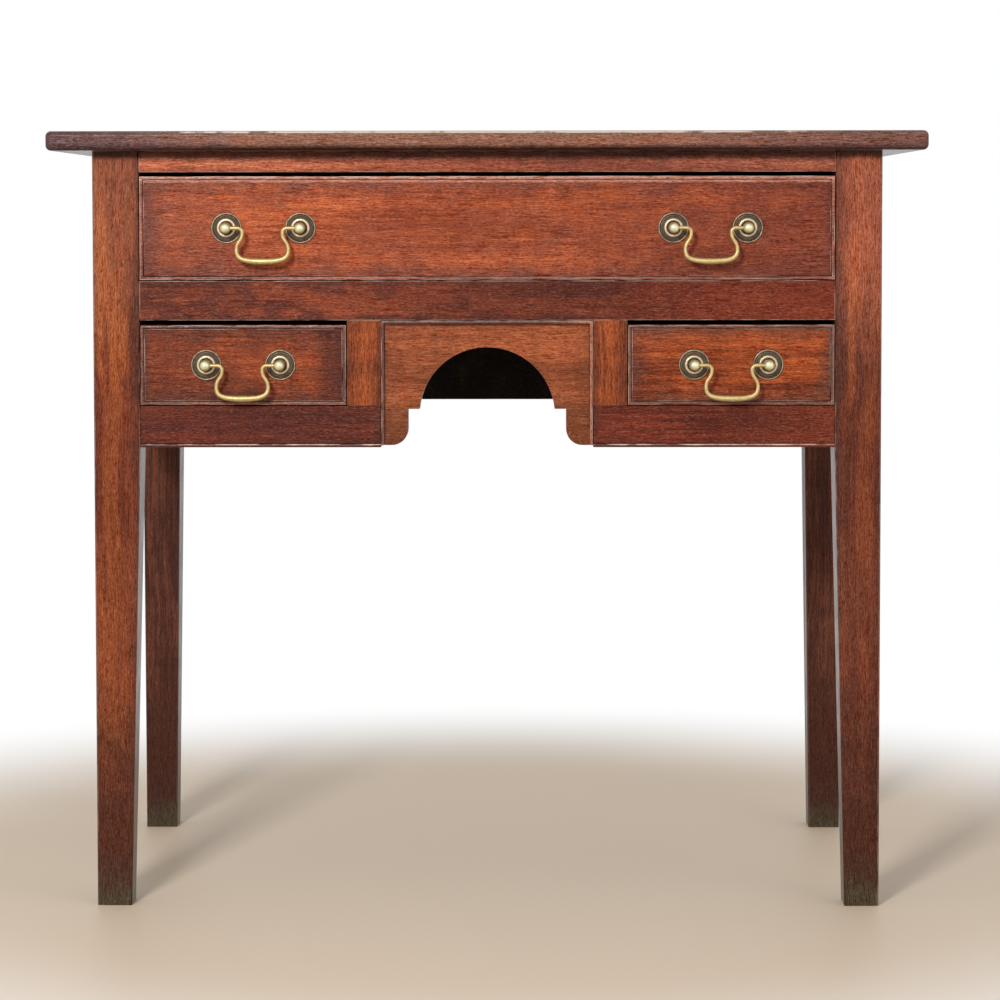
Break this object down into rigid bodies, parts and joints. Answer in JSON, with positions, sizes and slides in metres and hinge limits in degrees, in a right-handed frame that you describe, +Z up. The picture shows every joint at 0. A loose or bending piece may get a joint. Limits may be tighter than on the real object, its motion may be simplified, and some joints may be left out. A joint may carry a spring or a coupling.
{
  "type": "lowboy",
  "caption": "Lowboy dressing table with dovetailed drawers round an arched kneehole, square tapered legs and brass swan-neck drop handles.",
  "frame": {"origin": "middle of the bounding box, on the floor under the feet", "axes": "+X to the right seen from the front, -Y the drawer fronts, +Z up"},
  "size_m": [0.808, 0.462, 0.72],
  "materials": {
    "mahogany_top": "worn wax polish over figured mahogany",
    "mahogany_front": "wax polish, fine level grain",
    "mahogany_rail": "wax polish, darker rail timber",
    "mahogany_leg": "wax polish, upright grain",
    "mahogany_arch": "wax polish, lighter orange timber",
    "mahogany_bead": "wax polish, worn along the nose",
    "mahogany_side": "wax polish, level grain",
    "drawer_oak": "unfinished oak, darkened by age",
    "carcass_pine": "unfinished pine, darkened by age",
    "brass": "polished by use",
    "patinated_brass": "brown patina, bright on the raised rings"
  },
  "bodies": {
    "carcass": {"top_board": "mahogany_top", "back_board": "carcass_pine", "top_rail": "mahogany_rail", "middle_rail": "mahogany_rail", "arch_panel": "mahogany_arch", "arch_bead": "mahogany_bead", "leg_front_left": "mahogany_leg", "leg_back_left": "mahogany_leg", "side_panel_left": "mahogany_side", "bottom_rail_left": "mahogany_rail", "divider_left": "mahogany_arch", "long_runner_left": "carcass_pine", "short_runner_outer_left": "carcass_pine", "short_runner_inner_left": "carcass_pine", "leg_front_right": "mahogany_leg", "leg_back_right": "mahogany_leg", "side_panel_right": "mahogany_side", "bottom_rail_right": "mahogany_rail", "divider_right": "mahogany_arch", "long_runner_right": "carcass_pine", "short_runner_outer_right": "carcass_pine", "short_runner_inner_right": "carcass_pine"},
    "long_drawer": {"long_drawer_front": "mahogany_front", "long_drawer_bead": "mahogany_bead", "long_drawer_side_left": "drawer_oak", "long_drawer_side_right": "drawer_oak", "long_drawer_back": "drawer_oak", "long_drawer_bottom": "drawer_oak", "long_drawer_left_post_left": "brass", "long_drawer_left_rosette_left": "patinated_brass", "long_drawer_left_post_right": "brass", "long_drawer_left_rosette_right": "patinated_brass", "long_drawer_right_post_left": "brass", "long_drawer_right_rosette_left": "patinated_brass", "long_drawer_right_post_right": "brass", "long_drawer_right_rosette_right": "patinated_brass"},
    "long_drawer_left_bail": {"long_drawer_left_bail": "brass"},
    "long_drawer_right_bail": {"long_drawer_right_bail": "brass"},
    "left_drawer": {"left_drawer_front": "mahogany_front", "left_drawer_bead": "mahogany_bead", "left_drawer_side_left": "drawer_oak", "left_drawer_side_right": "drawer_oak", "left_drawer_back": "drawer_oak", "left_drawer_bottom": "drawer_oak", "left_drawer_post_left": "brass", "left_drawer_rosette_left": "patinated_brass", "left_drawer_post_right": "brass", "left_drawer_rosette_right": "patinated_brass"},
    "left_drawer_bail": {"left_drawer_bail": "brass"},
    "right_drawer": {"right_drawer_front": "mahogany_front", "right_drawer_bead": "mahogany_bead", "right_drawer_side_left": "drawer_oak", "right_drawer_side_right": "drawer_oak", "right_drawer_back": "drawer_oak", "right_drawer_bottom": "drawer_oak", "right_drawer_post_left": "brass", "right_drawer_rosette_left": "patinated_brass", "right_drawer_post_right": "brass", "right_drawer_rosette_right": "patinated_brass"},
    "right_drawer_bail": {"right_drawer_bail": "brass"}
  },
  "joints": [
    {"name": "long_drawer_slide", "type": "slide", "parent": "carcass", "child": "long_drawer", "axis": [0, -1, 0], "range_m": [0, 0.3]},
    {"name": "long_drawer_left_bail_swing", "type": "hinge", "parent": "long_drawer", "child": "long_drawer_left_bail", "pos_m": [-0.206, -0.223, 0.6311], "axis": [-1, 0, 0], "range_deg": [-21, 200]},
    {"name": "long_drawer_right_bail_swing", "type": "hinge", "parent": "long_drawer", "child": "long_drawer_right_bail", "pos_m": [0.206, -0.223, 0.6311], "axis": [-1, 0, 0], "range_deg": [-21, 200]},
    {"name": "left_drawer_slide", "type": "slide", "parent": "carcass", "child": "left_drawer", "axis": [0, -1, 0], "range_m": [0, 0.3]},
    {"name": "left_drawer_bail_swing", "type": "hinge", "parent": "left_drawer", "child": "left_drawer_bail", "pos_m": [-0.22525, -0.223, 0.5048], "axis": [-1, 0, 0], "range_deg": [-21, 200]},
    {"name": "right_drawer_slide", "type": "slide", "parent": "carcass", "child": "right_drawer", "axis": [0, -1, 0], "range_m": [0, 0.3]},
    {"name": "right_drawer_bail_swing", "type": "hinge", "parent": "right_drawer", "child": "right_drawer_bail", "pos_m": [0.22525, -0.223, 0.5048], "axis": [-1, 0, 0], "range_deg": [-21, 200]}
  ]
}
